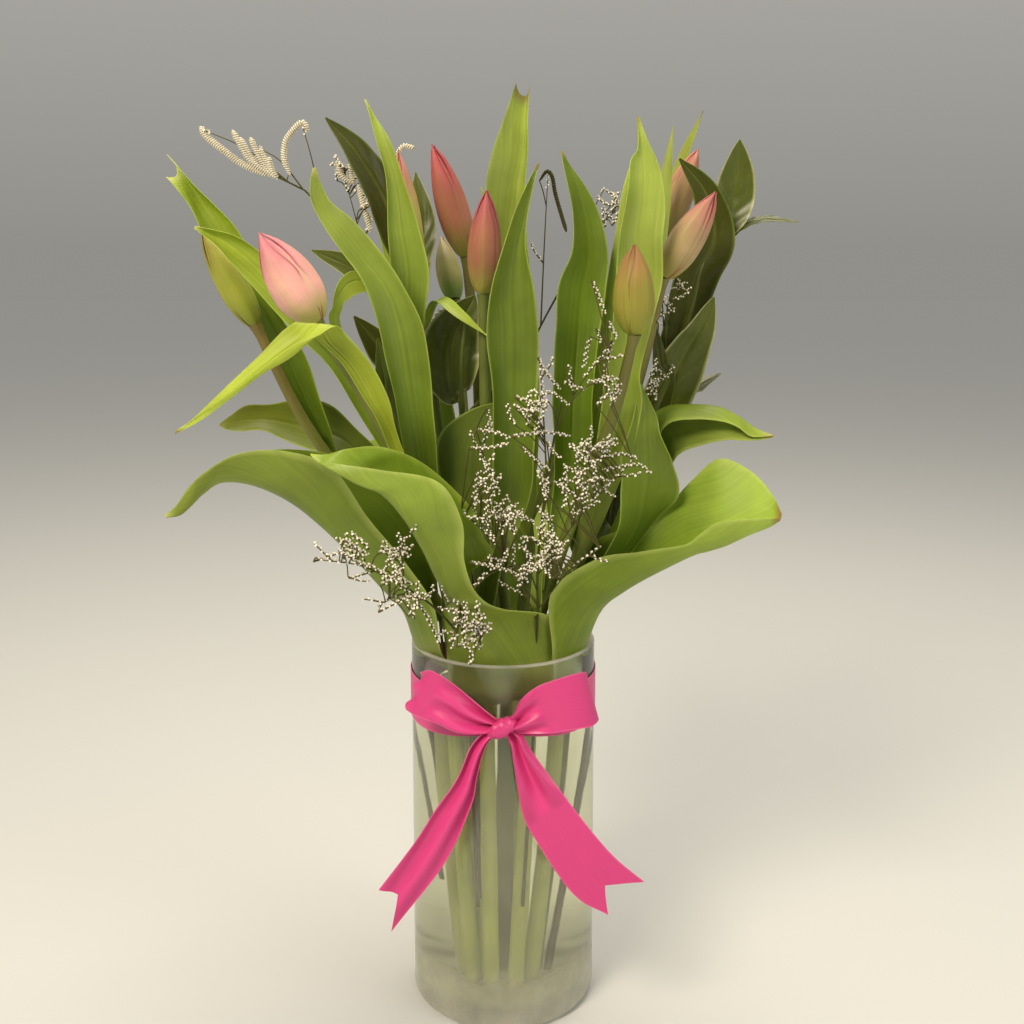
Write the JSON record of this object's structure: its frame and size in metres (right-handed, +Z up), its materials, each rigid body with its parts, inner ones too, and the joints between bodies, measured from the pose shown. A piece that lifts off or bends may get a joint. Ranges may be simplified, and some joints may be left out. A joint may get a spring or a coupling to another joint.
{
  "type": "tulips in a vase",
  "caption": "Closed tulip buds with strap leaves, leathery greenery and sea lavender in a glass cylinder vase of water tied with a satin ribbon bow.",
  "frame": {"origin": "centre of the vase's flat bottom", "axes": "+Z up along the vase's axis, +X to the right seen from the front, -Y to the front, where the bow is"},
  "size_m": [0.3323, 0.1996, 0.4969],
  "materials": {
    "glass": "clear blown glass",
    "water": "slightly clouded water",
    "satin": "satin",
    "stem": "smooth living stem",
    "leaf": "smooth living leaf",
    "greenery": "glossy leathery leaf",
    "sea_lavender": "dry papery florets",
    "bloom_01": "smooth living petals",
    "bloom_02": "smooth living petals",
    "bloom_03": "smooth living petals",
    "bloom_04": "smooth living petals",
    "bloom_05": "smooth living petals",
    "bloom_06": "smooth living petals",
    "bloom_07": "smooth living petals",
    "bloom_08": "smooth living petals",
    "bloom_09": "smooth living petals",
    "bloom_10": "smooth living petals"
  },
  "bodies": {
    "root": {"vase": "glass", "water": "water", "ribbon_band": "satin", "ribbon_bow": "satin", "stem_01": "stem", "bloom_01": "bloom_01", "stem_02": "stem", "bloom_02": "bloom_02", "stem_03": "stem", "bloom_03": "bloom_03", "stem_04": "stem", "bloom_04": "bloom_04", "stem_05": "stem", "bloom_05": "bloom_05", "stem_06": "stem", "bloom_06": "bloom_06", "stem_07": "stem", "bloom_07": "bloom_07", "stem_08": "stem", "bloom_08": "bloom_08", "stem_09": "stem", "bloom_09": "bloom_09", "stem_10": "stem", "bloom_10": "bloom_10", "leaf_01": "leaf", "leaf_02": "leaf", "leaf_03": "leaf", "leaf_04": "leaf", "leaf_05": "leaf", "leaf_06": "leaf", "leaf_07": "leaf", "leaf_08": "leaf", "leaf_09": "leaf", "leaf_10": "leaf", "leaf_11": "leaf", "leaf_12": "leaf", "leaf_13": "leaf", "leaf_14": "leaf", "leaf_15": "leaf", "leaf_16": "leaf", "leaf_17": "leaf", "leaf_18": "leaf", "leaf_19": "leaf", "leaf_20": "leaf", "leaf_21": "leaf", "leaf_22": "leaf", "leaf_23": "leaf", "leaf_24": "leaf", "leaf_25": "leaf", "leaf_26": "leaf", "greenery_right": "greenery", "greenery_left": "greenery", "greenery_front": "greenery", "sea_lavender_front": "sea_lavender", "sea_lavender_left": "sea_lavender", "sea_lavender_back_left": "sea_lavender", "sea_lavender_right": "sea_lavender", "sea_lavender_back": "sea_lavender"}
  },
  "joints": []
}
